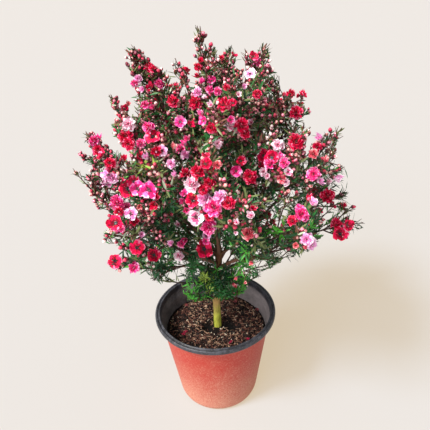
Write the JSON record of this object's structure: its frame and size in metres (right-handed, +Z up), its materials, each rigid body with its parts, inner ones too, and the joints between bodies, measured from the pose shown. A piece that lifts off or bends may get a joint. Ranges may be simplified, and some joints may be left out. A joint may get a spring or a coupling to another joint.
{
  "type": "potted flowering shrub",
  "caption": "Small bushy manuka in full bloom on a short trunk, standing in a tapered nursery pot filled with soil.",
  "frame": {"origin": "centre of the pot's flat underside, on the surface it stands on", "axes": "+Z up along the pot's axis, -Y towards the side seen in the picture, +X to the right as seen from there"},
  "size_m": [0.3127, 0.3149, 0.4586],
  "materials": {
    "pot_plastic": "satin",
    "soil_crumb": "matte",
    "trunk_bark": "matte",
    "bough_bark": "matte",
    "foliage_bloom": "matte"
  },
  "bodies": {
    "root": {"bough_back": "bough_bark", "bough_back_left": "bough_bark", "bough_back_left_high": "bough_bark", "bough_back_right": "bough_bark", "bough_back_right_high": "bough_bark", "bough_back_right_mid": "bough_bark", "bough_back_top": "bough_bark", "bough_front": "bough_bark", "bough_front_left": "bough_bark", "bough_front_left_high": "bough_bark", "bough_front_right": "bough_bark", "bough_front_right_high": "bough_bark", "bough_front_right_low": "bough_bark", "bough_front_top": "bough_bark", "bough_left": "bough_bark", "bough_left_front": "bough_bark", "bough_left_high": "bough_bark", "bough_left_low": "bough_bark", "bough_left_low_front": "bough_bark", "bough_left_top": "bough_bark", "bough_right": "bough_bark", "bough_right_low": "bough_bark", "bough_right_low_back": "bough_bark", "bough_right_top": "bough_bark", "foliage_back": "foliage_bloom", "foliage_back_left": "foliage_bloom", "foliage_back_left_high": "foliage_bloom", "foliage_back_right": "foliage_bloom", "foliage_back_right_high": "foliage_bloom", "foliage_back_right_mid": "foliage_bloom", "foliage_back_top": "foliage_bloom", "foliage_front": "foliage_bloom", "foliage_front_left": "foliage_bloom", "foliage_front_left_high": "foliage_bloom", "foliage_front_right": "foliage_bloom", "foliage_front_right_high": "foliage_bloom", "foliage_front_right_low": "foliage_bloom", "foliage_front_top": "foliage_bloom", "foliage_left": "foliage_bloom", "foliage_left_front": "foliage_bloom", "foliage_left_high": "foliage_bloom", "foliage_left_low": "foliage_bloom", "foliage_left_low_front": "foliage_bloom", "foliage_left_top": "foliage_bloom", "foliage_right": "foliage_bloom", "foliage_right_low": "foliage_bloom", "foliage_right_low_back": "foliage_bloom", "foliage_right_top": "foliage_bloom", "foliage_skirt_back_left": "foliage_bloom", "foliage_skirt_back_right": "foliage_bloom", "foliage_skirt_front_right": "foliage_bloom", "foliage_skirt_left": "foliage_bloom", "foliage_skirt_right": "foliage_bloom", "foliage_sprig_left": "foliage_bloom", "foliage_sprig_right": "foliage_bloom", "foliage_top": "foliage_bloom", "pot": "pot_plastic", "soil": "soil_crumb", "trunk": "trunk_bark"}
  },
  "joints": []
}
